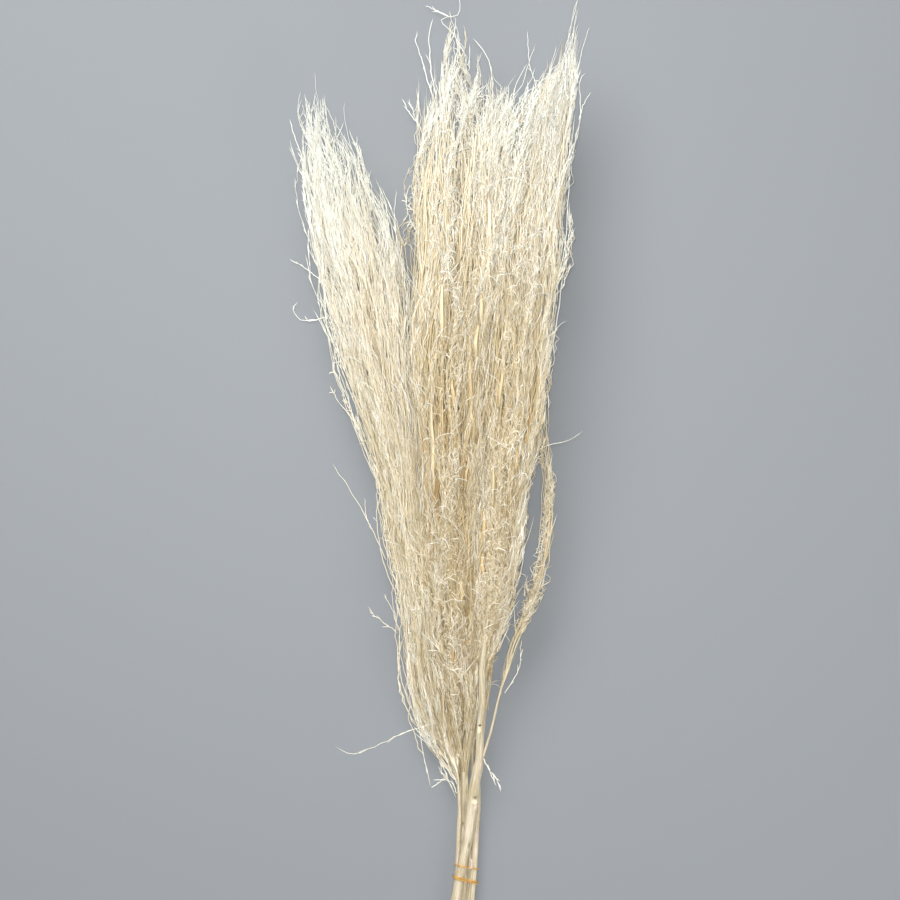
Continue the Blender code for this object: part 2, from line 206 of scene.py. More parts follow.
# Single twigs that stand out of the plumes, as points (x, y, z) from the root to the tip
STRAYS = (
    [
        (-2, 738, 84), (-12, 756, 84), (-24, 770, 82), (-19, 773, 82), (-11, 774, 82), (-7, 782, 84),
        (-9, 794, 86),
    ],
    [(-17, 773, 82), (-27, 778, 82), (-38, 783, 84)],
    [(-31, 700, 80), (-38, 724, 80), (-44, 742, 82), (-47, 752, 83), (-45, 761, 83)],
    [(-28, 700, 80), (-33, 725, 80), (-35, 756, 84), (-31, 772, 86)],
    [(20, 684, 84), (22, 708, 80), (19, 733, 82), (11, 746, 82), (4, 755, 80)],
    [(66, 696, 80), (59, 716, 76), (54, 738, 78), (53, 762, 78)],
    [(-42, 674, 70), (-52, 688, 74), (-59, 701, 76)],
    [(-46, 680, 70), (-50, 692, 72), (-53, 701, 70)],
    [(92, 700, 66), (98, 728, 66), (102, 745, 66), (109, 766, 66)],
    [(-142, 626, 44), (-150, 652, 44), (-154, 664, 44), (-161, 686, 44)],
    [(-126, 532, 60), (-138, 544, 62), (-155, 556, 62)],
    [(-128, 506, 56), (-146, 503, 58), (-155, 508, 60), (-157, 514, 60), (-153, 520, 60)],
    [(-74, 288, 40), (-86, 315, 44), (-105, 349, 48), (-123, 376, 50)],
    [(-88, 318, 44), (-92, 330, 47), (-93, 344, 48)],
    [(-63, 224, 36), (-67, 240, 38), (-76, 257, 38)],
    [(-64, 222, 30), (-76, 231, 32), (-89, 241, 30)],
    [(-60, 214, 30), (-62, 196, 30), (-58, 170, 30), (-46, 142, 28), (-40, 112, 26), (-33, 78, 24)],
    [(-28, 141, 34), (-46, 136, 36), (-68, 127, 36), (-92, 116, 30), (-106, 112, 26), (-121, 119, 24)],
    [(33, 168, 42), (42, 182, 44), (47, 196, 46), (48, 216, 48)],
    [(14, 108, 26), (20, 97, 28), (24, 87, 28)],
    [(21, 96, 28), (24, 92, 29), (28, 85, 29)],
    [(-10, 76, 17), (-16, 87, 20), (-22, 88, 21), (-28, 85, 20)],
    [(-17, 87, 20), (-23, 94, 22), (-26, 106, 24)],
    [(-14, 80, 14), (-24, 104, 18), (-30, 116, 20), (-33, 132, 20)],
    [(-11, 72, 14), (-20, 93, 18), (-29, 118, 20), (-34, 134, 21), (-40, 160, 24)],
    [(-10, 84, 15), (-18, 103, 18), (-24, 122, 21), (-31, 146, 23)],
    [(-12, 88, 15), (-20, 99, 17), (-26, 110, 17), (-36, 124, 18), (-38, 140, 20), (-43, 156, 22)],
    [
        (90, 640, 70), (95, 660, 72), (101, 688, 73), (100, 706, 74), (99, 715, 74), (102, 722, 74),
        (106, 724, 74),
    ],
    [(99, 682, 72), (104, 698, 73), (110, 707, 74)],
    [(74, 514, 64), (82, 545, 68), (88, 583, 70), (90, 620, 70), (92, 655, 70), (96, 690, 70)],
    [(73, 470, 60), (79, 500, 64), (83, 530, 66), (87, 556, 68), (91, 590, 70), (90, 612, 70)],
    [(-98, 404, 50), (-108, 420, 50), (-116, 430, 52), (-124, 445, 52)],
    [(-62, 550, 60), (-65, 585, 62), (-66, 604, 62), (-64, 621, 62)],
    [(-46, 582, 70), (-55, 604, 72), (-55, 612, 72), (-51, 626, 72)],
)

# Where amber wood shows between the twigs on the plumes' upper side: x, and from where to where along y
GLIMPSES = (
    (18.9, 572, 607), (18.0, 533, 562), (11.5, 502, 522), (7.2, 469, 495), (1.8, 430, 464),
    (-13.5, 428, 446), (28.8, 429, 452), (-23.4, 486, 531), (14.0, 304, 333), (-0.9, 356, 382),
    (-31.5, 352, 426), (-13.5, 196, 220), (22.5, 348, 370), (43.0, 367, 387), (13.0, 276, 292),
    (-6.0, 250, 268), (4.0, 404, 424),
)

# Sliver of tan stem wood that lies bare among the centre plume's twigs
SLIVER = [(7, 664, 122), (5.5, 652, 124), (5.2, 641, 124), (4.4, 628, 121)]

# Flake of bark that is peeled off the front stem and lies over the upper band: points (x, y, z), half its
# width and thickness, and how far it is cupped
FLAKE = [
    (1.4, 17.4, 17.6), (2.8, 15.4, 18.6), (3.4, 12.4, 18.8), (3.2, 9.6, 18.6), (2.2, 7.8, 18.2),
    (0.8, 7.6, 18.4),
]
FLAKE_WIDE, FLAKE_THICK, FLAKE_CUP = 1.0, 0.3, 0.4

# Bands: height of the middle, rise per mm of x, width, thickness, and loops (offset at left, at right)
BANDS = {
    "upper": (8.8, -0.22, 1.4, 1.0, [(0.0, 0.0)]),
    "lower": (-3.4, -0.27, 1.5, 1.3, [(0.75, 1.0), (-0.75, -1.0)]),
}
BAND_GAP = 0.25

# Lamps: place, target, size (m), spread (degrees), power (W)
LAMPS = {
    "key": ((0.0, 0.1, 4.9), (0.0, 0.1, 0.0), 0.25, 70, 23.0),
    "head": ((-0.5, 1.3, 1.6), (0.0, 0.3, 0.0), 1.6, 180, 37.0),
    "foot": ((0.9, -1.2, 1.0), (0.2, -0.4, 0.0), 1.0, 180, 5.5),
}
FLOOR_HALF_WIDTH = 4.0
SKY_STRENGTH = 0.25

# Middle of the view (x, y), and the height (m) at which the view is as wide as its setting says
VIEW_CENTRE = (-16.2, 387.0)
VIEW_DEPTH = 0.045

# The pieces' map: its name, the width of a strand on it, and the length that its whole height stands for
MAP_NAME = "OFBake"
TONE_WIDTH = 0.004
MAP_LENGTH = 400.0

# Bleached twig wood, from the palest tone, 0, to the tannest, 1
TWIG_TONES = ("#FFFFF6", "#F9F1DE", "#E8DBBC", "#D4C298", "#C4A26C")

# Tone of the wood at heights y, how much tanner a plume's inside is than its rim, which is painted shade
# darker towards the plume's middle, and each kind of strand than its plume, and how much paler a twig is at
# its tip
HEIGHT_TONES = ((60, 200, 380, 520, 620, 720), (0.36, 0.50, 0.47, 0.25, 0.07, -0.09))
PAINTED_DEPTH_SHADE = 0.34
BRANCH_TONE = 0.15
CORE_TONE = 0.27
TWIG_TONE = 0.13
TIP_BLEACH = 0.15

# Strands of each kind: sides, and the share of the radius that is lost on the way to the tip
BRANCH_FORM = (4, 0.5)
STRAY_FORM = (4, 0.4)
TWIG_FORM = (3, 0.4)
CURL_FORM = (3, 0.2)
SLIVER_FORM = (6, 0.5)

# Thick strands inside a plume: how many for each branch, and their radius in a full plume
CORE_SHARE = 1.6
CORE_RADIUS = 1.0

# Twigs in a tuft, and the chance that a tuft grows on the lowest branch, against 1 + that on the highest
TUFT = 5
LOWER_SIDE = 0.2

# Curls: rings, shortest and longest length, and how much paler they are than their plume. Most of them grow
# on the twigs and the rest on the branches.
CURLS = {"curls": (4, (4, 12), 0.24), "long_curls": (5, (12, 24), 0.34)}
ON_TWIGS = 0.85
ON_BRANCHES = 0.15

# Stray twigs: points on each and how far these are off the line, the number of loose strands at the left
# plume's edge and of twigs over the upper side, the radii of the amber strands and the sliver, and tones
STRAY_POINTS = 16
STRAY_OFFSET = 0.35
EDGE_STRANDS = 16
CROSSING_TWIGS = 70
GLIMPSE_RADIUS = 2.1
SLIVER_RADIUS = 1.2
STRAY_TONE = -0.25
EDGE_TONE = -0.15
CROSSING_TONE = -0.22
GLIMPSE_TONE = 0.36
SLIVER_TONE = 0.62

# Marks on the bark, per stem: height y, angle around the stem in degrees from +x down through -z (so that
# -90 faces up), reach across and along, how far it stands out, and how bright, pink or dark it is. The dark
# of a mark is painted shade, in the hollows of knots and broken twigs and where the stems shade each other.
# The cut ends and the flake are marked too.
BRIGHT, PINK, PAINTED_SHADE = np.eye(3)
MARKS = {
    # Dark marks on the front stem are painted shade in the hollows by its knots and broken twigs
    "stem_front": [
        (69.0, -64, 3.4, 1.7, 1.4, BRIGHT),
        (64.6, -50, 2.4, 2.8, 1.0, PINK),
        (73.0, -68, 3.0, 1.8, -1.0, 0.6 * PAINTED_SHADE),
        (65.6, -78, 1.6, 2.0, -0.2, 0.35 * PAINTED_SHADE),
        (135.0, -100, 2.0, 3.0, 0.9, 0.8 * BRIGHT),
        (139.6, -92, 1.2, 1.0, -0.7, PAINTED_SHADE),
        (103.0, -60, 1.2, 5.0, 0.3, 0.6 * PINK),
        (42.0, -118, 1.4, 9.0, 0.1, 0.6 * PINK),
        (-22.0, -75, 1.8, 12.0, 0.0, 0.5 * PINK),
        (-40.0, -110, 0.8, 4.0, -0.2, 0.5 * PAINTED_SHADE),
        (30.0, -60, 0.8, 4.0, -0.2, 0.6 * PAINTED_SHADE),
        (168.0, -80, 1.0, 1.6, 0.7, 0.5 * BRIGHT),
    ],
    "stem_centre": [
        # Dark marks on the centre stem are painted shade where the stems beside it shade it, over the fork
        # and below the tie
        (60.0, -90, 3.0, 20.0, 0.0, 0.35 * PAINTED_SHADE),
        (34.0, -80, 1.0, 1.6, 0.2, 0.9 * PAINTED_SHADE),
        (47.0, -110, 0.8, 1.2, 0.2, 0.9 * PAINTED_SHADE),
        (-20.0, -100, 2.0, 16.0, 0.0, 0.3 * PAINTED_SHADE),
    ],
    "stem_right": [
        (24.0, -70, 1.6, 8.0, 0.2, 0.6 * PINK),
        (-28.0, -80, 1.5, 2.2, 0.5, 0.6 * BRIGHT),
        (-31.0, -80, 1.0, 0.9, -0.3, 0.8 * PAINTED_SHADE),
        (56.0, -100, 1.2, 1.4, 0.5, 0.5 * BRIGHT),
    ],
    "stem_left": [
        (20.0, -90, 1.2, 10.0, 0.0, 0.5 * PINK),
        (-16.0, -70, 0.9, 1.2, 0.3, 0.4 * BRIGHT),
    ],
}
CUT_MARK = 0.5 * BRIGHT
FLAKE_MARK = 0.15 * BRIGHT + 0.5 * PINK

# Colours of bright and pink marks and of the painted shade of dark marks, from which strength (mark times
# streak) on they show, and how much more it takes until they show in full
MARK_TINTS = (("#F6E7C6", 0.30), ("#E8CFC2", 0.30), ("#4A3A22", 0.25))
MARK_START = 0.08

# Pink patches, tanned patches and dark specks of the bark: the scales of their noise across and along the
# fibres, from which value on they show, from which in full, how strong they get, and their colour
STAINS = (
    ((0.14, 0.14, 0.022), 0.5, 0.72, 0.45, "#D0BBAA"),
    ((0.22, 0.22, 0.03), 0.52, 0.68, 0.45, "#AE9C70"),
    ((1.9, 1.9, 0.55), 0.62, 0.72, 0.75, "#6E5B3A"),
)


def linear(hex_colour):
    """An sRGB hex colour as linear red, green, blue and alpha."""
    parts = [int(hex_colour[i : i + 2], 16) / 255 for i in (1, 3, 5)]
    return (*(p / 12.92 if p <= 0.04045 else ((p + 0.055) / 1.055) ** 2.4 for p in parts), 1.0)


def unit(vectors):
    """The same directions with length 1."""
    return vectors / np.maximum(np.linalg.norm(vectors, axis=-1, keepdims=True), 1e-12)


def smooth(position, places, values):
    """Values at position along a smooth curve through (places, values) that never overshoots them."""
    places = np.asarray(places, float)
    values = np.asarray(values, float)
    rises = np.diff(values) / np.diff(places)
    product = rises[:-1] * rises[1:]
    total = rises[:-1] + rises[1:]
    inner = np.where(product > 0, 2 * product / np.where(product > 0, total, 1), 0)
    slopes = np.concatenate([rises[:1], inner, rises[-1:]])
    position = np.clip(position, places[0], places[-1])
    index = np.clip(np.searchsorted(places, position, side="right") - 1, 0, len(places) - 2)
    width = places[index + 1] - places[index]
    u = (position - places[index]) / width
    return (
        values[index] * (2 * u**3 - 3 * u**2 + 1)
        + slopes[index] * width * (u**3 - 2 * u**2 + u)
        + values[index + 1] * (3 * u**2 - 2 * u**3)
        + slopes[index + 1] * width * (u**3 - u**2)
    )


def axis_at(stem, y):
    """x and z of the stem's axis at heights y."""
    x_list, y_list, z_list = np.array(stem["axis"], float).T
    return smooth(y, y_list, x_list), smooth(y, y_list, z_list)


def room_at(stem, y):
    """Left, right, low and high edge of the stem's room at heights y. It starts as wide as the stem."""
    fork = stem.get("fork", FORK_Y)
    x, z = axis_at(stem, fork)
    r = stem["radius"]
    stations = np.array([(fork, x - r, x + r, z - r, z + r), *stem["room"]], float)
    return [smooth(y, stations[:, 0], stations[:, column]) for column in (1, 2, 3, 4)]


def bundle_origin():
    """Where the bundle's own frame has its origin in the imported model, in metres.

    The cut end of the front stem is a flat ring around its axis, so the mean of its corners is the
    first point of that axis.
    """
    end_depth = 6 * MM
    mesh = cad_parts["stem_front"].data
    places = np.empty(len(mesh.vertices) * 3)
    mesh.vertices.foreach_get("co", places)
    places = np.unique(places.reshape(-1, 3).round(6), axis=0)
    cut = places[places[:, 1] < places[:, 1].min() + end_depth]
    return cut.mean(axis=0) - np.array(STEMS["stem_front"]["axis"][0]) * MM


ORIGIN = bundle_origin()


def stacked(*parts):
    """The parts side by side, as the last axis of one array."""
    return np.stack(parts, axis=-1)


def corner_angles(sides):
    """Angles of a regular polygon's corners."""
    return TURN * np.arange(sides) / sides


def on_circle(angle):
    """Points (x, y) of the unit circle at these angles: their cosine and sine."""
    return stacked(np.cos(angle), np.sin(angle))


def distances(points):
    """Distance along each line of points (..., m, k) from its start: the sum of the steps so far."""
    steps = np.linalg.norm(np.diff(points, axis=-2), axis=-1)
    return np.concatenate([np.zeros_like(steps[..., :1]), np.cumsum(steps, axis=-1)], axis=-1)


def quad_corners(grid):
    """The four corners of each quad in a grid of points (..., m, s, k), in order around it."""
    low, high = grid[..., :-1, :, :], grid[..., 1:, :, :]
    return np.stack([low[..., :-1, :], low[..., 1:, :], high[..., 1:, :], high[..., :-1, :]], axis=-2)


def round_ring(side, other, angle):
    """Unit vectors at these angles from side towards other: (..., angles, 3)."""
    return side[..., None, :] * np.cos(angle)[:, None] + other[..., None, :] * np.sin(angle)[:, None]


def rings_around(path, side, other, reach, other_reach):
    """Rings (m, s, 3) around a path: each point lies so far along two directions that are square to it."""
    return path[:, None] + reach[..., None] * side[:, None] + other_reach[..., None] * other[:, None]


def new_object(name, data):
    """A new object in the scene, at the origin."""
    made = bpy.data.objects.new(name, data)
    bpy.context.scene.collection.objects.link(made)
    return made


class Surface:
    """Gathers points in millimetres, faces, and a pair of map coordinates per corner, for one mesh."""

    def __init__(self):
        self.places = []
        self.faces = []
        self.maps = []
        self.smooth = []
        self.count = 0

    def add(self, places, *parts):
        """Adds points (k, 3) and parts of (faces, map, smooth). All faces of one part have the same number
        of corners."""
        self.places.append(places.reshape(-1, 3))
        for corners, around, is_smooth in parts:
            self.faces.append(corners + self.count)
            self.maps.append(around.reshape(-1, 2))
            self.smooth.append(np.full(len(corners), is_smooth))
        self.count += places.size // 3

    def build(self, name, looks, vectors=()):
        """The finished piece with this material and these vectors {name: one per point}. Its place is in
        its mesh, and its object is at the origin."""
        places = np.concatenate(self.places)
        places[:, 0] = np.clip(places[:, 0], *ROOM_X)
        places[:, 2] = np.clip(places[:, 2], *ROOM_Z)
        places = places * MM + ORIGIN
        sides = np.concatenate([np.full(len(f), f.shape[1]) for f in self.faces])
        corners = np.concatenate([f.ravel() for f in self.faces])
        mesh = bpy.data.meshes.new(name)
        mesh.vertices.add(len(places))
        mesh.vertices.foreach_set("co", places.ravel().astype(np.float32))
        mesh.loops.add(len(corners))
        mesh.loops.foreach_set("vertex_index", corners.astype(np.int32))
        mesh.polygons.add(len(sides))
        starts = np.concatenate([[0], np.cumsum(sides)[:-1]])
        mesh.polygons.foreach_set("loop_start", starts.astype(np.int32))
        mesh.polygons.foreach_set("loop_total", sides.astype(np.int32))
        mesh.polygons.foreach_set("use_smooth", np.concatenate(self.smooth))
        layer = mesh.uv_layers.new(name=MAP_NAME, do_init=False)
        layer.uv.foreach_set("vector", np.concatenate(self.maps).ravel().astype(np.float32))
        for label, values in dict(vectors).items():
            made = mesh.attributes.new(label, "FLOAT_VECTOR", "POINT")
            made.data.foreach_set("vector", values.ravel().astype(np.float32))
        mesh.update(calc_edges=True)
        mesh.materials.append(looks)
        return new_object(name, mesh)


def carried_frames(paths):
    """Two unit vectors square to each point of paths (n, m, 3), carried along them without twist: each is
    the one before it less its part along the path."""
    across = (0.31, -0.12, 0.94)
    tangent = unit(np.gradient(paths, axis=1))
    side = np.empty_like(tangent)
    side[:, 0] = unit(np.cross(tangent[:, 0], across))
    for ring in range(1, paths.shape[1]):
        before = side[:, ring - 1]
        along = (before * tangent[:, ring]).sum(axis=1, keepdims=True)
        side[:, ring] = unit(before - along * tangent[:, ring])
    return side, np.cross(tangent, side)


def add_tubes(surface, paths, radii, sides, tone, along):
    """Closed tubes: a regular polygon of so many sides carried along each path, with a flat cap at the
    root and a point at the tip.

    paths is (n, m, 3), radii, tone and along are (n, m). The map's first coordinate is the tone with a
    narrow width around the tube, its second is the distance along.
    """
    n, m, _ = paths.shape
    side, other = carried_frames(paths)
    angle = corner_angles(sides)
    ring = round_ring(side[:, :-1], other[:, :-1], angle)
    rings = paths[:, :-1, None, :] + radii[:, :-1, None, None] * ring
    places = np.concatenate([rings.reshape(-1, 3), paths[:, -1]])
    index = np.arange(n * (m - 1) * sides).reshape(n, m - 1, sides)
    tip = np.arange(n)[:, None] + index.size
    beside = np.roll(index, -1, axis=2)
    quads = stacked(index[:, :-1], beside[:, :-1], beside[:, 1:], index[:, 1:])
    last = stacked(index[:, -1], beside[:, -1], np.broadcast_to(tip, (n, sides)))
    u = tone[:, :, None] + np.arange(sides + 1) * TONE_WIDTH / sides
    v = np.broadcast_to(along[:, :, None], u.shape)
    grid = stacked(u, v)
    point = np.stack([grid[:, -2, :-1], grid[:, -2, 1:], grid[:, -1, :-1]], axis=-2)
    flat = on_circle(angle) * TONE_WIDTH / 2
    root = grid[:, 0, :1, :] + flat[::-1]
    surface.add(
        places,
        (quads.reshape(-1, 4), quad_corners(grid[:, :-1]), True),
        (last.reshape(-1, 3), point, True),
        (index[:, 0, ::-1], root, False),
    )


def grow_branches(stem, count, rng):
    """Each branch's place in the room, where it starts and ends, and how it drifts and sways.

    The places follow a sunflower pattern, denser towards its rim, which is held within the room. Outer
    branches leave lower, and a branch ends at its plume's ragged outline, sooner towards the plume's top
    and underside. Lengths are for a full plume, and scale with this one's.
    """
    rim_crowding, half_width = 0.4, 0.56
    inner_delay, chance_delay, rounding = 160, 90, 35
    index = np.arange(count)
    reach = ((index + 0.6) / count) ** rim_crowding
    angle = index * GOLDEN_ANGLE + rng.uniform(-0.2, 0.2, count)
    across = np.clip(0.5 + half_width * reach * np.cos(angle), 0, 1)
    up = np.clip(0.5 + half_width * reach * np.sin(angle), 0, 1)
    late = inner_delay * (1 - reach) + chance_delay * rng.uniform(0, 1, count) * rng.uniform(0, 1, count)
    outline = np.interp(across, *np.array(stem["tips"], float).T)
    fork = stem.get("fork", FORK_Y)
    scale = (outline.mean() - fork) / PLUME_LENGTH
    return {
        "across": across,
        "up": up,
        "start": fork + LOWEST_BRANCH + late * scale,
        "end": outline - rounding * scale * (2 * np.abs(up - 0.5)) ** 2 - rng.gamma(1.2, 11, count),
        "spread": rng.uniform(50, 120, count) * scale,
        "drift": rng.normal(0, 0.09, count),
        "sway": rng.uniform(1.0, 5.5, count),
        "wave": rng.uniform(80, 200, count),
        "phase": rng.uniform(0, TURN, count),
        "depth": 1 - reach,
        "scale": np.full(count, scale),
        "tone": rng.normal(0, 0.07, count),
    }


ON_BRANCH = ("across", "up", "start", "drift", "spread", "sway", "wave", "phase")


def on_branch(stem, branches, parent, y):
    """x and z on branches number parent (n) at heights y (n, m).

    A branch leaves the axis at its start, is at its own place in the room after its spread, and drifts
    across the room as it rises, while it sways in a slow wave that is narrower in narrow rooms.
    """
    across, up, start, spread, drift, sway, wave, phase = (
        values[parent][:, None] for name, values in branches.items() if name in ON_BRANCH
    )
    drift_middle, drift_reach, wide_room = 350, 300, 40
    flatter, faster = 0.6, 1.3
    left, right, low, high = room_at(stem, y)
    axis_x, axis_z = axis_at(stem, y)
    gone = 1 - (1 - np.clip((y - start) / spread, 0, 1)) ** 2
    across = np.clip(across + drift * np.clip((y - drift_middle) / drift_reach, -1, 1), 0, 1)
    swing = sway * gone * np.minimum(1, (right - left) / wide_room)
    turn = TURN * y / wave + phase
    x = axis_x + gone * (left + (right - left) * across - axis_x) + swing * np.sin(turn)
    z = axis_z + gone * (low + (high - low) * up - axis_z) + flatter * swing * np.cos(faster * turn)
    return x, z


def wander(shape, amplitude, waves, rng):
    """Gentle sine waves of random phase, (n, m), which start and end at nothing."""
    n, m = shape
    s = np.linspace(0, 1, m)
    phase = rng.uniform(0, TURN, (n, 1))
    count = rng.uniform(*waves, (n, 1))
    size = rng.uniform(0.2, 1.0, (n, 1)) * amplitude
    return size * np.sin(TURN * count * s + phase) * np.minimum(1, 4 * s)


def place_tone(y, tone, rng):
    """Each strand's tone (n, m): its plume's tone, its own chance, and its height's. The bundle's lower
    half is the tannest, and the plumes' tips are the most bleached."""
    own = rng.normal(0, 0.08, (len(y), 1)) + np.reshape(tone, (-1, 1))
    return np.clip(own + np.interp(y, *HEIGHT_TONES), 0.0, 1 - TONE_WIDTH)


def strand_along(paths, rng):
    """The second map coordinate: distance along each strand in map lengths, from a random start."""
    run = distances(paths) / MAP_LENGTH
    start = rng.uniform(0, 1, (len(paths), 1)) * np.maximum(1 - run[:, -1:], 0)
    return np.clip(start + run, 0, 1)


def branch_paths(stem, branches, waver, waves, rough, rng):
    """Strands from the stem's axis out into the plume and on to their branches' ends. They waver by up to
    this much in so many waves, and each point is off its line by chance."""
    points = 20
    share = np.linspace(0, 1, points)
    y = branches["start"][:, None] + (branches["end"] - branches["start"])[:, None] * share
    x, z = on_branch(stem, branches, np.arange(len(y)), y)
    for values in (x, z):
        values += wander(x.shape, waver, waves, rng) + rng.normal(0, rough, x.shape)
    return stacked(x, y, z)


def calm(y):
    """How freely strands bend at heights y: fully in the plume's middle, less low down and at its tips."""
    return np.interp(y, (110, 260, 640, 740), (0.30, 1.0, 1.0, 0.35))


def twig_paths(stem, growth, branches, rng):
    """Twigs, in tufts of a few that leave a branch together, move away from it, run on beside it and draw
    in a little near its end. Each bulges out of its tuft by a half wave, and wavers by chance. Two in five
    tufts leave low down and are shorter. Gives the paths, and the branch and tone of each."""
    low_share, low_reach, shortest, past_end, points = 0.40, 110, 35, 6, 18
    high_reach, low_lengths, high_lengths = (0.1, 0.97), (40, 110), (60, 170)
    heights, openness = (90, 250, 380, 500, 620), (0.55, 0.7, 0.75, 1.1, 1.35)
    tufts = growth["twigs"] // TUFT
    member = np.repeat(np.arange(tufts), TUFT)
    count = len(member)
    share = np.linspace(0, 1, points)
    chance = LOWER_SIDE + branches["up"] ** 2
    parent = rng.choice(growth["branches"], tufts, p=chance / chance.sum())
    start, end, scale = (branches[key][parent] for key in ("start", "end", "scale"))
    low = rng.uniform(0, 1, tufts) < low_share
    below = low_reach * scale * rng.uniform(0, 1, tufts) ** 1.5
    root = start + np.where(low, below, (end - start) * rng.uniform(*high_reach, tufts))
    length = scale * np.where(low, rng.uniform(*low_lengths, tufts), rng.uniform(*high_lengths, tufts))
    tip = np.maximum(np.minimum(root + length, end + past_end), root + shortest)
    away = (1 + np.minimum(rng.gamma(2.5, 2.4, tufts), 10)) * np.minimum(1, scale + 0.2)
    direction = rng.uniform(0, TURN, tufts)
    shift = rng.uniform(0, 0.3, count) * (tip - root)[member]
    first = root[member] + shift
    last = tip[member] - 0.5 * shift + rng.gamma(1.5, 8, count)
    y = first[:, None] + (last - first)[:, None] * share
    x, z = on_branch(stem, branches, parent[member], y)
    gone = np.clip((y - root[member][:, None]) / (tip - root)[member][:, None], 0, 1)
    closing = np.clip((end[member][:, None] + 30 - y) / 110, 0.8, 1)
    out = away[member][:, None] * (1 - (1 - gone) ** 1.3) * closing
    out = out * np.interp(y, heights, openness)
    turn = direction[member][:, None] + rng.normal(0, 0.6, (tufts, 1))[member] * gone
    bulge = rng.gamma(2.0, 1.1, (count, 1)) * np.sin(math.pi * share) ** 0.7
    bulge = bulge * np.interp(y, (300, 560), (1, 1.7))
    own = rng.uniform(0, TURN, (count, 1)) + rng.normal(0, 0.8, (count, 1)) * share
    waver = growth["waver"] * calm(y)
    for values, wave in ((x, np.cos), (z, np.sin)):
        values += out * wave(turn) + bulge * wave(own) + 2.2 * waver * wander(x.shape, 1, (1.5, 6), rng)
        values += waver * rng.normal(0, 0.85, x.shape) * np.minimum(1, 5 * share)
    tone = (branches["tone"][parent] + rng.normal(0, 0.05, tufts))[member]
    return stacked(x, y, z), parent[member], tone


def grow_core(stem, count, rng):
    """Branches for the plume's massed inside: the same pattern, drawn in across and up and down, a little
    under the middle, and ending sooner."""
    core = grow_branches(stem, count, rng)
    width, middle, height, sooner = 0.80, 0.44, 0.52, 26
    core["across"] = 0.5 + width * (core["across"] - 0.5)
    core["up"] = middle + height * (core["up"] - 0.5)
    core["end"] = core["end"] - sooner * core["scale"]
    return core


def freedom(branches):
    """How freely each branch's curls bend: less at the plume's left and right edges."""
    return np.interp(np.abs(2 * branches["across"] - 1), (0.25, 0.7), (1.0, 0.08))


def plume_top(x, y):
    """Height of the plumes' upper side over points x, y: every room is an ellipse across."""
    tops = []
    for stem in STEMS.values():
        left, right, low, high = room_at(stem, y)
        share = (2 * x - left - right) / (right - left)
        tops.append((low + high) / 2 + (high - low) / 2 * np.sqrt(np.clip(1 - share**2, 0, 1)))
    return np.max(tops, axis=0)


def glimpse_paths(rng):
    """Short amber strands in an arch along y: each comes up out of the plumes' upper side and sinks again,
    a little past where it shows."""
    points, past, above, arch = 12, 5, 2.0, 5
    x, first, last = np.array(GLIMPSES, float).T[:, :, None]
    share = np.linspace(0, 1, points)
    y = first - past + (last - first + 2 * past) * share
    x = x + rng.normal(0, 1.2, x.shape) * (2 * share - 1) + 0.8 * wander(y.shape, 1, (1, 2), rng)
    z = plume_top(x, y) + above - arch * (2 * share - 1) ** 2
    return stacked(x, y, z)


def crossing_paths(count, rng):
    """Single twigs over the plumes' upper side: each comes up out of it and curves off to one side, in
    even steps whose direction turns and wavers along it."""
    heights, middles, half_widths = (150, 260, 470, 640), (-8, -8, 10, 25), (18, 38, 55, 50)
    rings, below = 12, 3
    first = rng.uniform(heights[0], heights[-1], (count, 1))
    off = rng.uniform(-1, 1, (count, 1)) * np.interp(first, heights, half_widths)
    x = np.interp(first, heights, middles) + off
    share = np.linspace(0, 1, rings)
    step = rng.uniform(22, 60, (count, 1)) / (rings - 1)
    turn = rng.normal(0, 0.45, (count, 1)) + rng.normal(0, 0.9, (count, 1)) * share
    turn = turn + 0.5 * wander((count, rings), 1, (1, 3), rng)
    x = x + np.cumsum(step * np.sin(turn), axis=1)
    y = first + np.cumsum(step * np.cos(turn), axis=1)
    z = plume_top(x, y) - below + rng.uniform(6, 12, (count, 1)) * np.sin(0.7 * math.pi * share)
    return stacked(x, y, z)


def edge_paths(stem, count, rng):
    """Loose strands along a plume's left edge: each runs up just inside it, bows out of it by a half wave,
    wavers, and comes back to it."""
    points, roots, lengths, bows, inside = 28, (105, 420), (110, 190), (5, 15), 3
    share = np.linspace(0, 1, points)
    first = rng.uniform(*roots, (count, 1))
    y = first + rng.uniform(*lengths, (count, 1)) * share
    left, _, low, high = room_at(stem, y)
    away = rng.uniform(*bows, (count, 1)) * np.sin(math.pi * share**0.8) ** 0.8
    x = left + inside - away + 1.6 * wander(y.shape, 1, (3, 7), rng) + rng.normal(0, 0.5, y.shape)
    z = low + (high - low) * rng.uniform(0.3, 0.7, (count, 1)) + 2 * wander(y.shape, 1, (2, 5), rng)
    return stacked(x, y, z)


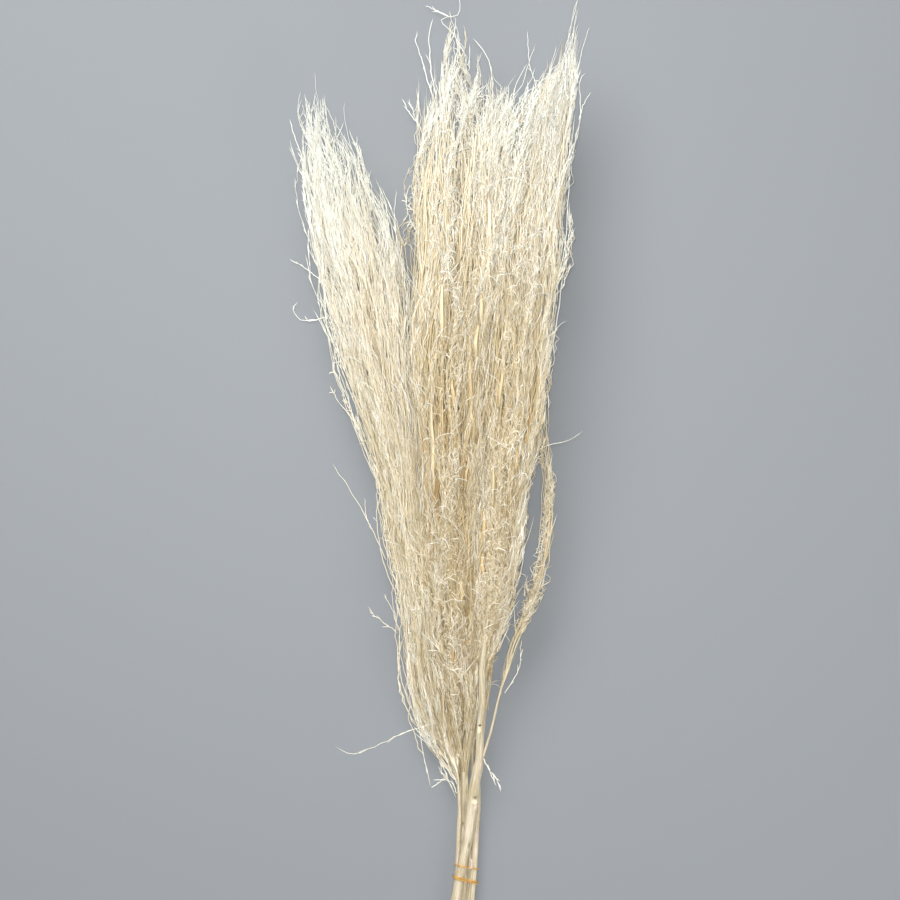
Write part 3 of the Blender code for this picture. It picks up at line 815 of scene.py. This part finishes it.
def curl_paths(parents, loose, count, rings, lengths, turn, lean, rng):
    """Curls: each leaves its parent strand by this angle (lean) and bends on, its turn growing evenly along
    it, more on looser parents and where strands bend freely. Some tufts are crowded with them, and the ends
    of the twigs in the plume's tips stay bare. Gives the paths and the parent of each."""
    crowd = np.repeat(rng.gamma(1.5, 1.0, math.ceil(len(parents) / TUFT)), TUFT)[: len(parents)]
    parent = rng.choice(len(parents), count, p=crowd / crowd.sum())
    clad = np.interp(parents[parent, -1, 1], (600, 700, 760), (1.0, 0.88, 0.6))
    ring = 1 + ((parents.shape[1] - 3) * clad * rng.uniform(0, 1, count)).astype(int)
    share = rng.uniform(0, 1, (count, 1))
    root = parents[parent, ring] * (1 - share) + parents[parent, ring + 1] * share
    farther = np.minimum(ring + 3, parents.shape[1] - 1)
    tangent = unit(parents[parent, farther] - parents[parent, np.maximum(ring - 2, 0)])
    side = unit(np.cross(tangent, unit(rng.normal(0, 1, (count, 3)))))
    other = np.cross(tangent, side)
    s = np.linspace(0, 1, rings)
    free = calm(root[:, 1:2]) * loose[parent, None]
    lean = free * (lean * rng.uniform(0.3, 1.0, (count, 1)) + rng.normal(0, turn, (count, 1)) * s)
    roll = rng.normal(0, 1.2, (count, 1)) * s
    ahead = (
        np.cos(lean)[..., None] * tangent[:, None]
        + (np.sin(lean) * np.cos(roll))[..., None] * side[:, None]
        + (np.sin(lean) * np.sin(roll))[..., None] * other[:, None]
    )
    step = rng.uniform(*lengths, (count, 1, 1)) * (1.3 - 0.3 * free[..., None]) / (rings - 1)
    run = np.cumsum(ahead * step, axis=1)
    return root[:, None] + run - run[:, :1], parent


def add_strands(surface, paths, radius, sides, slimming, tone, rng, bleach=0.0):
    """Strands along paths: each with its own radius near this one, of which it loses a share (slimming)
    towards its tip, as its tone gets paler by this much (bleach)."""
    share = np.linspace(0, 1, paths.shape[1])
    radii = radius * rng.uniform(0.75, 1.25, (len(paths), 1)) * (1 - slimming * share)
    paths[:, :, 2] = np.maximum(paths[:, :, 2], radii + FLOOR_GAP)
    tones = np.clip(place_tone(paths[:, :, 1], tone, rng) - bleach * share, 0, 1 - TONE_WIDTH)
    add_tubes(surface, paths, radii, sides, tones, strand_along(paths, rng))


def add_core(surface, paths, radius, tone, rng):
    """Thick strands that swell from their roots and slim towards their tips."""
    sides, slimming = 4, 0.6
    share = np.linspace(0, 1, paths.shape[1])
    radii = radius * rng.uniform(0.7, 1.2, (len(paths), 1)) * np.minimum(1, 2 * share + 0.3)
    radii = radii * (1 - slimming * share**3)
    paths[:, :, 2] = np.maximum(paths[:, :, 2], radii + FLOOR_GAP)
    tones = place_tone(paths[:, :, 1], tone, rng)
    add_tubes(surface, paths, radii, sides, tones, strand_along(paths, rng))


def add_curled(surface, paths, tone, each, lengths, lean, settings, rng):
    """Stray strands along paths, each with so many curls that are a little paler."""
    rings, turn, paler = 5, 1.2, 0.05
    add_strands(surface, paths, settings.branch_radius / MM, *STRAY_FORM, tone, rng)
    free = np.ones(len(paths))
    curls, _ = curl_paths(paths, free, each * len(paths), rings, lengths, turn, lean, rng)
    add_strands(surface, curls, settings.curl_radius / MM, *CURL_FORM, tone - paler, rng)


def stem_radius(stem, y):
    """The radius of the stem's bark at heights y."""
    return np.interp(y, *np.array(stem["bark"], float).T)


def add_skin(surface, rings, along, ends, joined=False):
    """A skin over rings of points (m, s, 3), round each of which the skin is closed.

    Joined skins run from the last ring to the first. Others close at both ends over a middle point that
    lies this far (ends) inwards. The map runs around and along, with a round island for each end.
    """
    m, s, _ = rings.shape
    index = np.arange(m * s).reshape(m, s)
    nearer = index if joined else index[:-1]
    farther = np.roll(index, -1, axis=0) if joined else index[1:]
    quads = stacked(nearer, np.roll(nearer, -1, 1), np.roll(farther, -1, 1), farther)
    u = np.linspace(0.005, 0.995, s + 1)
    v = np.append(along, 1.0) if joined else along
    grid = stacked(*np.broadcast_arrays(u[None, :], 0.92 * v[:, None]))
    parts = [(quads.reshape(-1, 4), quad_corners(grid), True)]
    if joined:
        surface.add(rings, *parts)
        return
    middles = rings[[0, -1]].mean(axis=1)
    ahead = unit(rings[[1, -2]].mean(axis=1) - middles)
    middles += ahead * ends
    centre = index.size + np.arange(2)
    turn = TURN * np.arange(s + 1) / s
    rim = 0.03 * on_circle(turn)
    for number, ring in enumerate((index[0, ::-1], index[-1])):
        middle = np.array([0.05 + 0.1 * number, 0.96])
        fan = stacked(ring, np.roll(ring, -1), np.full(s, centre[number]))
        island = np.stack([middle + rim[:-1], middle + rim[1:], np.broadcast_to(middle, (s, 2))], axis=-2)
        parts.append((fan, island, False))
    surface.add(np.concatenate([rings.reshape(-1, 3), middles]), *parts)


def bark_rings(stem, marks, rng):
    """Rings of bark around the stem's axis, and per point its place on the fibres and its marks.

    The reach from the axis is the stem's radius with ribs that wind slowly, a slight swelling at each
    joint, and every mark's bell-shaped bump or hollow. The axis sways a little, least at the tie. The cut
    end is slanted, and the rings lie wide apart where twigs hide the bark (above fine_y).
    """
    fine_y, wide_step, facet, sway, tremble = 260, 12.0, 0.75, 3, 0.5
    sides = int(np.clip(TURN * stem["radius"] / facet, 12, 36))
    cut_y, tip_y = stem["axis"][0][1], stem["axis"][-1][1] - 30
    step = 1.6 if marks and stem["radius"] > 4 else 2.4
    y = np.concatenate([np.arange(cut_y, fine_y, step), np.arange(fine_y, tip_y, wide_step)])
    x, z = axis_at(stem, y)
    free = np.clip((y - 150) / 300, 0, 1)
    x = x + sway * free * np.sin(y / 31 + rng.uniform(0, 6))
    z = z + sway * free * np.sin(y / 37 + rng.uniform(0, 6))
    loose = np.clip((np.abs(y - 6) - 14) / 40, 0.12, 1)
    x = x + tremble * loose * np.sin(y / 9 + rng.uniform(0, 6))
    axis = stacked(x, y, z)
    tangent = unit(np.gradient(axis, axis=0))
    side = unit(np.cross(tangent, (0.0, 0.0, 1.0)))
    down = np.cross(tangent, side)
    angle = math.pi / 2 + corner_angles(sides)
    radius = stem_radius(stem, y)[:, None]
    ribs = np.zeros((len(y), sides))
    for lobes, size in ((2, 0.030), (3, 0.026), (5, 0.022), (8, 0.016), (11, 0.012)):
        wave = y[:, None] / rng.uniform(14, 50) + rng.uniform(0, 6)
        rib = size * np.cos(lobes * angle + rng.uniform(0, 6) + 0.7 * np.sin(wave))
        ribs += rib * (1 + 0.5 * np.sin(wave * 0.7))
    joints = np.cumsum(rng.uniform(18, 40, 30)) + cut_y
    swelling = (0.07 * np.exp(-(((y[:, None] - joints) / 2.6) ** 2))).sum(axis=1)[:, None]
    rough = rng.normal(0, 0.010, ribs.shape)
    reach = radius * (1 + (ribs + swelling + rough) * loose[:, None])
    # seen holds how bright, pink and dark each point is; the dark is painted shade in hollows and between
    # stems
    seen = np.zeros((len(y), sides, 3))
    for place, turn, across, length, height, look in marks:
        gap = (angle - math.radians(turn) + math.pi) % TURN - math.pi
        bell = np.exp(-(((y[:, None] - place) / length) ** 2) - (radius * gap / across) ** 2)
        reach = reach + height * bell
        seen += bell[..., None] * look
    reach[0] *= 0.97
    rings = axis[:, None] + reach[..., None] * round_ring(side, down, angle)
    slant = 0.25 * stem["radius"] * np.cos(angle + rng.uniform(0, 6)) + rng.normal(0, 0.08, sides)
    rings[:, :, 1] += slant * np.clip(1 - (y - cut_y) / 9, 0, 1)[:, None]
    heights = np.broadcast_to(y[:, None], reach.shape)
    fibre = stacked(radius * np.cos(angle), radius * np.sin(angle), heights)
    along = np.interp(y, (cut_y, fine_y, tip_y), (0, 0.85, 1))
    rings[:, :, 2] = np.maximum(rings[:, :, 2], 0.1)
    return rings, along, fibre + rng.uniform(0, 90), seen


def band_path(height, rise, gap, offsets, count=96):
    """The closed path of a band: the outline of all stems seen along them, kept this far (gap) outside.

    For every direction the outline's point is the farthest point of any stem, taken where the sloping band
    crosses it. The outline is made even and eased, and its height rises with x.
    """
    turn = np.linspace(0, TURN, 1440, endpoint=False)
    direction = on_circle(turn)
    middles, reaches = [], []
    for stem in STEMS.values():
        y = height
        for _ in range(3):
            x, z = axis_at(stem, y)
            y = height + rise * float(x)
        middles.append((float(x), float(z)))
        reaches.append(float(stem_radius(stem, y)) + gap)
    middles, reaches = np.array(middles), np.array(reaches)
    best = (direction @ middles.T + reaches).argmax(axis=1)
    outline = middles[best] + reaches[best, None] * direction
    closed = np.concatenate([outline, outline[:1]])
    run = distances(closed)
    even = np.linspace(0, run[-1], count, endpoint=False)
    x, z = (np.interp(even, run, closed[:, column]) for column in (0, 1))
    for _ in range(3):
        x = (np.roll(x, 1) + 2 * x + np.roll(x, -1)) / 4
        z = (np.roll(z, 1) + 2 * z + np.roll(z, -1)) / 4
    y = height + rise * x + np.interp(x, (-13, 11), offsets)
    return stacked(x, y, z)


def band_rings(path, width, thickness, rng, sides=12):
    """Rings of a flattish cord around a closed path. Its thickness varies a little along it."""
    count = len(path)
    tangent = unit(np.roll(path, -1, axis=0) - np.roll(path, 1, axis=0))
    outward = unit(stacked(tangent[:, 2], np.zeros(count), -tangent[:, 0]))
    across = np.cross(tangent, outward)
    angle = corner_angles(sides)
    circle = on_circle(angle).T
    boxy = np.abs(circle) ** 0.75 * np.sign(circle)
    turn = corner_angles(count)
    vary = 1 + 0.06 * np.sin(3 * turn + rng.uniform(0, 6)) + 0.04 * np.sin(7 * turn + rng.uniform(0, 6))
    out = (thickness / 2 * vary)[:, None] * boxy[0]
    wide = (width / 2 * vary)[:, None] * boxy[1]
    return rings_around(path, outward, across, out, wide)


def curved(points, count):
    """So many points along a smooth curve through a few points."""
    points = np.array(points, float)
    run = distances(points)
    even = np.linspace(0, run[-1], count)
    return stacked(*(smooth(even, run, column) for column in points.T))


def flake_rings(points, wide, thick, cup, count=30, sides=14):
    """Rings of a curled flake of bark: a thin lens carried along a curve, cupped by this much (cup)."""
    path = curved(points, count)
    tangent = unit(np.gradient(path, axis=0))
    above = unit(np.array([0.0, 0.0, 1.0]) - tangent * tangent[:, 2:3])
    across = np.cross(tangent, above)
    share = np.linspace(0, 1, count)[:, None]
    taper = np.clip(4 * share, 0.35, 1) * np.clip(5 * (1 - share), 0.3, 1)
    angle = corner_angles(sides)
    up = thick * np.cos(angle) * taper - cup * np.sin(angle) ** 2 * taper
    out = wide * np.sin(angle) * taper
    return rings_around(path, above, across, up, out)


def add_node(tree, kind, settings=(), links=()):
    """One shader node with its settings {name: value} and links {input: source socket}."""
    node = tree.nodes.new(kind)
    for name, value in dict(settings).items():
        if name in node.inputs:
            node.inputs[name].default_value = value
        else:
            setattr(node, name, value)
    for name, source in dict(links).items():
        tree.links.new(source, node.inputs[name])
    return node


def new_material(name, roughness):
    """An empty material with its Principled shader at this roughness, and its node tree."""
    made = bpy.data.materials.new(name)
    made.use_nodes = True
    shader = made.node_tree.nodes["Principled BSDF"]
    shader.inputs["Roughness"].default_value = roughness
    return made, made.node_tree, shader


def ramp(tree, source, stops):
    """The colour of a ramp with stops {position: hex colour} at this source value."""
    node = add_node(tree, "ShaderNodeValToRGB", links={"Fac": source})
    elements = node.color_ramp.elements
    elements.remove(elements[-1])
    for index, (position, colour) in enumerate(stops.items()):
        element = elements[0] if index == 0 else elements.new(position)
        element.position = position
        element.color = linear(colour)
    return node.outputs["Color"]


def noise(tree, place, scales, detail=3.0, roughness=0.55):
    """Noise whose grains are 1/scale long along each coordinate of place."""
    scaled = add_node(tree, "ShaderNodeVectorMath", {"operation": "MULTIPLY"}, {0: place})
    scaled.inputs[1].default_value = scales
    settings = {"Scale": 1.0, "Detail": detail, "Roughness": roughness}
    return add_node(tree, "ShaderNodeTexNoise", settings, {"Vector": scaled.outputs[0]}).outputs[0]


def between(tree, share, first, second):
    """The first colour changed into the second, a hex colour, by this share."""
    links = {"Fac": share, "Color1": first}
    return add_node(tree, "ShaderNodeMixRGB", {"Color2": linear(second)}, links).outputs[0]


def fraction(tree, source, low, high, top=1.0):
    """The source's share of the way from low to high, kept between 0 and 1 and scaled to this top."""
    settings = {"From Min": low, "From Max": high, "To Min": 0.0, "To Max": top}
    return add_node(tree, "ShaderNodeMapRange", settings, {"Value": source}).outputs[0]


def twig_material():
    """Bleached twig wood. Each strand's place on the map gives its tone, from bleached white to tan."""
    made, tree, shader = new_material("bleached_twig_wood", 0.62)
    place = add_node(tree, "ShaderNodeUVMap", {"uv_map": MAP_NAME})
    parts = add_node(tree, "ShaderNodeSeparateXYZ", links={"Vector": place.outputs[0]})
    tones = ramp(tree, parts.outputs["X"], {i / 4: colour for i, colour in enumerate(TWIG_TONES)})
    tree.links.new(tones, shader.inputs["Base Color"])
    return made


def bark_material():
    """Dried stem bark: cream with tan streaks along the fibres, faint pink and tanned patches, dark specks
    and the marks of broken side twigs. The streaks also make the bump, so the bark is darkest in its
    grooves:
    tan grain with painted shade in the grooves. The dark of the marks is painted shade in hollows and where
    the stems shade each other. It is what makes the stems look woody and old."""
    made, tree, shader = new_material("dried_stem_bark", 0.72)
    fibre = add_node(tree, "ShaderNodeAttribute", {"attribute_name": "fibre"}).outputs["Vector"]
    marks = add_node(tree, "ShaderNodeAttribute", {"attribute_name": "marks"}).outputs["Vector"]
    marks = add_node(tree, "ShaderNodeSeparateXYZ", links={"Vector": marks}).outputs
    # The same noise gives the streaks' colour and the bump: tan grain, and painted shade in the bump's
    # grooves
    streaks = noise(tree, fibre, (0.9, 0.9, 0.05), 4.0, 0.6)
    colour = ramp(tree, streaks, {0.30: "#A09070", 0.42: "#BEB08F", 0.52: "#CFC4A9", 0.68: "#DAD1BB"})
    for scales, start, full, most, stain in STAINS:
        stained = fraction(tree, noise(tree, fibre, scales), start, full, most)
        colour = between(tree, stained, colour, stain)
    # Bright and pink marks are the bark's own colour; the dark marks are painted shade
    for mark, (tint, fade) in enumerate(MARK_TINTS):
        mark_tint_and_shade = add_node(tree, "ShaderNodeMath", {"operation": "MULTIPLY"}, {0: marks[mark], 1: streaks})
        mark_tint_and_shade = fraction(tree, mark_tint_and_shade.outputs[0], MARK_START, MARK_START + fade)
        colour = between(tree, mark_tint_and_shade, colour, tint)
    tree.links.new(colour, shader.inputs["Base Color"])
    bump = add_node(tree, "ShaderNodeBump", {"Strength": 0.5, "Distance": 0.0003}, {"Height": streaks})
    tree.links.new(bump.outputs[0], shader.inputs["Normal"])
    return made


def rubber_material():
    """Natural rubber: amber, a little paler and darker along the band, with a soft shine."""
    made, tree, shader = new_material("natural_rubber", 0.42)
    place = add_node(tree, "ShaderNodeTexCoord").outputs["Object"]
    shades = noise(tree, place, (220.0, 60.0, 220.0), 2.0)
    colour = ramp(tree, shades, {0.35: "#BC8A45", 0.55: "#D8A65A", 0.72: "#EAC286"})
    tree.links.new(colour, shader.inputs["Base Color"])
    return made


MADE = {}


def material(make):
    """The material that make gives, made once."""
    if make not in MADE:
        MADE[make] = make()
    return MADE[make]


def seat(piece):
    """Lets a finished piece ride the bundle."""
    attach(piece, "root")


def look_angles(aim):
    """Euler angles that point an object's -Z along aim."""
    x, y, z = aim / np.linalg.norm(aim)
    return (math.acos(-z), 0.0, math.atan2(-x, y))


def metres(name, description, default):
    """A setting that is a length."""
    return bpy.props.FloatProperty(name=name, description=description, default=default, unit="LENGTH")


class KochiaSettings(bpy.types.PropertyGroup):
    """Sizes and the floor's colour that the operators read"""

    twig_radius: metres("Twig Radius", "Radius of a twig at its root", 0.00044)
    branch_radius: metres("Branch Radius", "Radius of a branch at its root", 0.00046)
    curl_radius: metres("Curl Radius", "Radius of a curl at its root", 0.00044)
    camera_height: metres("Camera Height", "Height of the camera above the floor", 4.0)
    view_width: metres("View Width", "Width that the camera shows at the bundle", 0.81)
    floor_colour: bpy.props.FloatVectorProperty(
        name="Floor Colour",
        description="Colour of the floor",
        default=linear("#898D91"),
        size=4,
        subtype="COLOR",
    )


class KOCHIA_OT_stems(bpy.types.Operator):
    """Make each stem's bark, with the side branch and a bark flake on the front stem"""

    bl_idname = "kochia.stems"
    bl_label = "Stems"

    def execute(self, context):
        for number, (name, stem) in enumerate(PLUMES.items()):
            rng = np.random.default_rng(SEED + 40 + number)
            bark = Surface()
            rings, along, fibre, seen = bark_rings(stem, MARKS.get(name, []), rng)
            add_skin(bark, rings, along, 0.12 * stem["radius"])
            ends = fibre[[0, -1]].mean(axis=1)
            fibre = np.concatenate([fibre.reshape(-1, 3), ends])
            seen = np.concatenate([seen.reshape(-1, 3), [CUT_MARK, 0 * CUT_MARK]])
            vectors = {"fibre": fibre, "marks": seen}
            piece = bark.build(name + "_bark", material(bark_material), vectors)
            seat(piece)
            if name in STEMS:
                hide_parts(name)
        flake = Surface()
        rings = flake_rings(FLAKE, FLAKE_WIDE, FLAKE_THICK, FLAKE_CUP)
        add_skin(flake, rings, np.linspace(0, 1, len(rings)), 0.0)
        fibre = np.concatenate([rings.reshape(-1, 3), rings[[0, -1]].mean(axis=1)])
        seen = np.tile(FLAKE_MARK, (len(fibre), 1))
        vectors = {"fibre": fibre, "marks": seen}
        seat(flake.build("bark_flake", material(bark_material), vectors))
        return {"FINISHED"}


class KOCHIA_OT_plumes(bpy.types.Operator):
    """Make the branches, twigs and curls of each stem and of the side branch"""

    bl_idname = "kochia.plumes"
    bl_label = "Plumes"

    def execute(self, context):
        settings = context.scene.kochia
        for number, (name, stem) in enumerate(PLUMES.items()):
            growth = dict(zip(GROWTH_KEYS, GROWTH[name], strict=True))
            tone = growth["tone"]
            rng = np.random.default_rng(SEED + number)
            branches = grow_branches(stem, growth["branches"], rng)
            plume = Surface()
            woody = branch_paths(stem, branches, 1.8, (4, 9), 0.5, rng)
            # Painted shade: strands deeper in the plume get a tanner tone
            inside = PAINTED_DEPTH_SHADE * branches["depth"]
            tones = tone + BRANCH_TONE + inside
            add_strands(plume, woody, settings.branch_radius / MM, *BRANCH_FORM, tones, rng)
            core = grow_core(stem, int(CORE_SHARE * growth["branches"]), rng)
            cores = branch_paths(stem, core, 2.5, (3, 8), 0.8, rng)
            add_core(plume, cores, CORE_RADIUS * branches["scale"][0] ** 2, tone + CORE_TONE, rng)
            twigs, owner, own = twig_paths(stem, growth, branches, rng)
            own = own + inside[owner]
            tones = tone + TWIG_TONE + own
            add_strands(plume, twigs, settings.twig_radius / MM, *TWIG_FORM, tones, rng, TIP_BLEACH)
            seat(plume.build(name + "_twigs", material(twig_material)))
            tufted = Surface()
            free = freedom(branches)
            on_twigs = (twigs, own, free[owner], ON_TWIGS)
            on_branches = (woody, branches["tone"] + inside, free, ON_BRANCHES)
            bend = (growth["turn"], growth["lean"])
            # The parents' tones carry the painted shade of the plume's inside on to the curls
            for parents, shade, loose, share in (on_twigs, on_branches):
                for kind, (rings, lengths, bleached) in CURLS.items():
                    count = int(share * growth[kind])
                    curls, parent = curl_paths(parents, loose, count, rings, lengths, *bend, rng)
                    pale = tone - bleached + shade[parent]
                    add_strands(tufted, curls, settings.curl_radius / MM, *CURL_FORM, pale, rng)
            seat(tufted.build(name + "_curls", material(twig_material)))
        return {"FINISHED"}


class KOCHIA_OT_strays(bpy.types.Operator):
    """Make the single twigs that stand out of the bundle or lie over it, and the amber wood between them"""

    bl_idname = "kochia.strays"
    bl_label = "Stray Twigs"

    def execute(self, context):
        settings = context.scene.kochia
        rng = np.random.default_rng(SEED + 80)
        strays = Surface()
        paths = np.stack([curved(points, STRAY_POINTS) for points in STRAYS])
        paths[:, 1:] += rng.normal(0, STRAY_OFFSET, paths[:, 1:].shape)
        add_curled(strays, paths, STRAY_TONE, 3, (3, 11), 0.7, settings, rng)
        loose = edge_paths(STEMS["stem_left"], EDGE_STRANDS, rng)
        add_curled(strays, loose, EDGE_TONE, 5, (3, 10), 0.6, settings, rng)
        add_core(strays, glimpse_paths(rng), GLIMPSE_RADIUS, GLIMPSE_TONE, rng)
        crossing = crossing_paths(CROSSING_TWIGS, rng)
        add_strands(strays, crossing, settings.twig_radius / MM, *TWIG_FORM, CROSSING_TONE, rng)
        sliver = curved(SLIVER, STRAY_POINTS)[None]
        add_strands(strays, sliver, SLIVER_RADIUS, *SLIVER_FORM, SLIVER_TONE, rng)
        seat(strays.build("stray_twigs", material(twig_material)))
        return {"FINISHED"}


class KOCHIA_OT_bands(bpy.types.Operator):
    """Make the upper rubber band and the two loops of the lower one"""

    bl_idname = "kochia.bands"
    bl_label = "Rubber Bands"

    def execute(self, context):
        rng = np.random.default_rng(SEED + 90)
        for name, (height, rise, width, thickness, loops) in BANDS.items():
            band = Surface()
            for number, offsets in enumerate(loops):
                path = band_path(height, rise, BAND_GAP + thickness / 2, offsets)
                rings = band_rings(path, width, thickness, rng)
                along = (np.arange(len(path)) / len(path) + number) / len(loops)
                add_skin(band, rings, along, 0.0, joined=True)
            piece = band.build("rubber_band_" + name, material(rubber_material))
            seat(piece)
            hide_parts("band_" + name)
        return {"FINISHED"}


class KOCHIA_OT_stage(bpy.types.Operator):
    """Make the floor, the soft lights and the camera that looks straight down"""

    bl_idname = "kochia.stage"
    bl_label = "Stage"

    def execute(self, context):
        scene = context.scene
        settings = scene.kochia
        sheet = bpy.data.meshes.new("floor")
        half = FLOOR_HALF_WIDTH
        corners = [(-half, -half, 0), (half, -half, 0), (half, half, 0), (-half, half, 0)]
        sheet.from_pydata(corners, [], [(0, 1, 2, 3)])
        matte, _, shader = new_material("matte_paper", 0.9)
        shader.inputs["Base Color"].default_value = settings.floor_colour
        sheet.materials.append(matte)
        floor = new_object("floor", sheet)

        world = bpy.data.worlds.new("studio")
        world.use_nodes = True
        sky = world.node_tree.nodes["Background"]
        sky.inputs["Color"].default_value = linear("#FBFBFA")
        sky.inputs["Strength"].default_value = SKY_STRENGTH
        scene.world = world

        for name, (place, target, size, spread, power) in LAMPS.items():
            data = bpy.data.lights.new(name, "AREA")
            data.shape = "DISK"
            data.size = size
            data.energy = power
            data.spread = math.radians(spread)
            lamp = new_object(name, data)
            lamp.location = place
            lamp.rotation_euler = look_angles(np.array(target) - np.array(place))

        camera = bpy.data.cameras.new("camera")
        height = settings.camera_height
        camera.angle = 2 * math.atan(settings.view_width / 2 / (height - VIEW_DEPTH))
        camera = new_object("camera", camera)
        centre = ORIGIN + np.array([*VIEW_CENTRE, 0.0]) * MM
        camera.location = (centre[0], centre[1], height)
        scene.camera = camera
        scene.view_settings.view_transform = "Standard"
        return {"FINISHED"}


class KOCHIA_PT_panel(bpy.types.Panel):
    """Panel with the settings and a button for each operator"""

    bl_label = "Kochia Bundle"
    bl_idname = "KOCHIA_PT_panel"
    bl_space_type = "VIEW_3D"
    bl_region_type = "UI"
    bl_category = "Kochia"

    def draw(self, context):
        for name in KochiaSettings.__annotations__:
            self.layout.prop(context.scene.kochia, name)
        for operator in OPERATORS:
            self.layout.operator(operator.bl_idname)


OPERATORS = (KOCHIA_OT_stems, KOCHIA_OT_plumes, KOCHIA_OT_strays, KOCHIA_OT_bands, KOCHIA_OT_stage)
CLASSES = (KochiaSettings, *OPERATORS, KOCHIA_PT_panel)


def register():
    """Registers the add-on's classes and its settings."""
    for item in CLASSES:
        bpy.utils.register_class(item)
    bpy.types.Scene.kochia = bpy.props.PointerProperty(type=KochiaSettings)


def unregister():
    """Takes back what register does."""
    del bpy.types.Scene.kochia
    for item in reversed(CLASSES):
        bpy.utils.unregister_class(item)


def main():
    """Makes all pieces and the stage."""
    register()
    bpy.ops.kochia.stems()
    bpy.ops.kochia.plumes()
    bpy.ops.kochia.strays()
    bpy.ops.kochia.bands()
    bpy.ops.kochia.stage()


if __name__ == "__main__":
    main()
